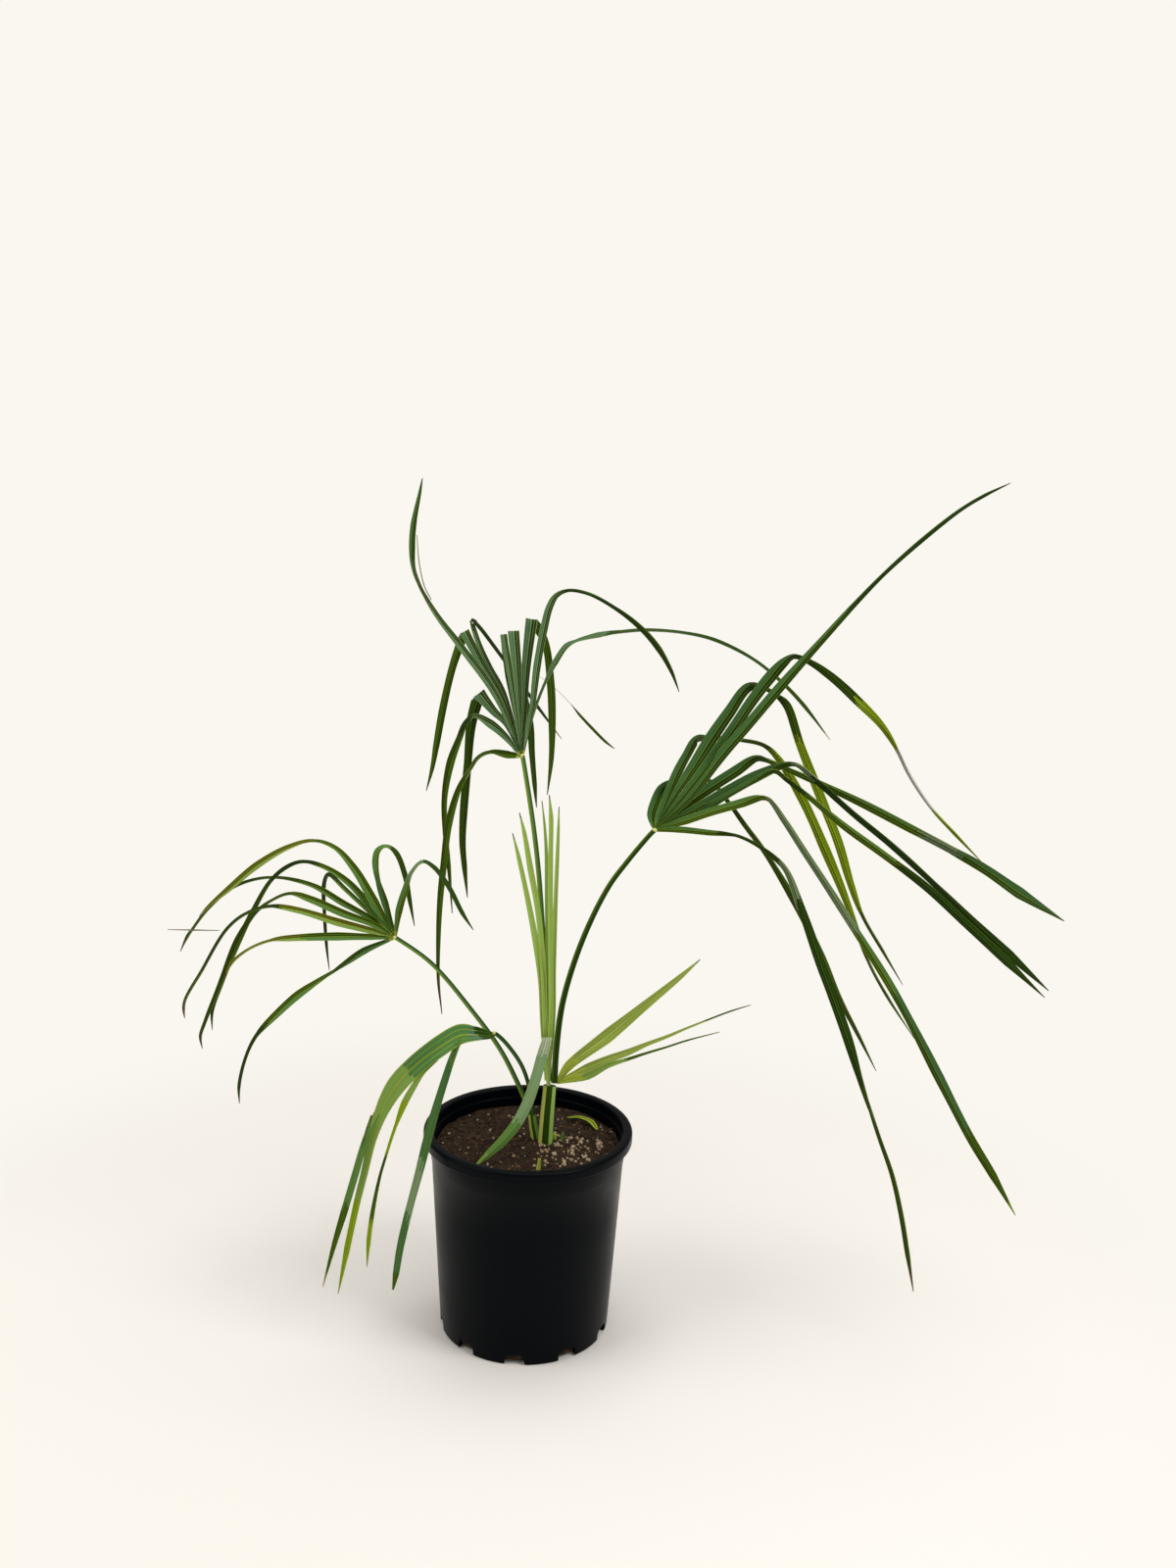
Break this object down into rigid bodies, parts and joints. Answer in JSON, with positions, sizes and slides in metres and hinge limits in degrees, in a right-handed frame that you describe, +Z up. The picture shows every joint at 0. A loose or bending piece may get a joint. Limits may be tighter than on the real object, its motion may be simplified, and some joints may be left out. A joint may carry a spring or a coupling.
{
  "type": "potted cabbage palmetto",
  "caption": "Young palm in a black nursery pot: fan leaves on slender stalks with narrow folded, hanging blades, an upright new leaf, and potting mix below the rim",
  "frame": {"origin": "centre of the pot's flat underside", "axes": "+Z up along the pot's axis; +X to the right and +Y away from the viewer in the picture"},
  "size_m": [0.9441, 0.2834, 0.885],
  "materials": {
    "pot": "satin black moulded plastic",
    "potting_mix": "loose matt potting mix with perlite and bark",
    "sheath": "smooth satin leaf sheath",
    "stalk": "smooth satin leaf stalk",
    "leaf_blue_green": "ribbed satin blade",
    "leaf_deep_green": "ribbed satin blade",
    "leaf_mid_green": "ribbed satin blade",
    "leaf_light_green": "ribbed satin blade",
    "leaf_lime": "young ribbed blade, nearly matt",
    "leaf_grey_green": "ribbed blade with a waxy bloom",
    "shoot": "pale yellow-green plant tissue"
  },
  "bodies": {
    "root": {"pot": "pot", "soil": "potting_mix", "crown_stem": "sheath", "left_sheath": "sheath", "centre_stalk": "stalk", "right_stalk": "stalk", "left_stalk": "stalk", "strap_stalk": "stalk", "centre_fan": "leaf_blue_green", "right_fan": "leaf_deep_green", "left_fan": "leaf_mid_green", "strap_leaf": "leaf_light_green", "spear_leaf": "leaf_lime", "low_leaf": "leaf_lime", "front_leaf": "leaf_grey_green", "front_leaf_tail_1": "leaf_grey_green", "pale_shoot": "shoot", "cut_stub": "shoot", "side_shoot": "shoot", "fallen_scrap": "shoot", "centre_fan_tail_1": "leaf_blue_green", "centre_fan_tail_2": "leaf_blue_green", "centre_fan_tail_3": "leaf_blue_green", "centre_fan_tail_4": "leaf_blue_green", "centre_fan_tail_5": "leaf_blue_green", "centre_fan_tail_6": "leaf_blue_green", "centre_fan_tail_7": "leaf_blue_green", "centre_fan_tail_8": "leaf_blue_green", "centre_fan_tail_9": "leaf_blue_green", "centre_fan_tail_10": "leaf_blue_green", "centre_fan_tail_11": "leaf_blue_green", "centre_fan_tail_12": "leaf_blue_green", "right_fan_tail_1": "leaf_deep_green", "right_fan_tail_2": "leaf_deep_green", "right_fan_tail_3": "leaf_deep_green", "right_fan_tail_4": "leaf_deep_green", "right_fan_tail_5": "leaf_deep_green", "right_fan_tail_6": "leaf_deep_green", "right_fan_tail_7": "leaf_deep_green", "right_fan_tail_8": "leaf_deep_green", "right_fan_tail_9": "leaf_deep_green", "right_fan_tail_10": "leaf_deep_green", "left_fan_tail_1": "leaf_mid_green", "left_fan_tail_2": "leaf_mid_green", "left_fan_tail_3": "leaf_mid_green", "left_fan_tail_4": "leaf_mid_green", "left_fan_tail_5": "leaf_mid_green", "left_fan_tail_6": "leaf_mid_green", "left_fan_tail_7": "leaf_mid_green", "left_fan_tail_8": "leaf_mid_green", "left_fan_tail_9": "leaf_mid_green", "left_fan_tail_10": "leaf_mid_green", "strap_leaf_tail_2": "leaf_light_green", "strap_leaf_tail_3": "leaf_light_green", "strap_leaf_tail_4": "leaf_light_green", "strap_leaf_tail_5": "leaf_light_green"}
  },
  "joints": []
}
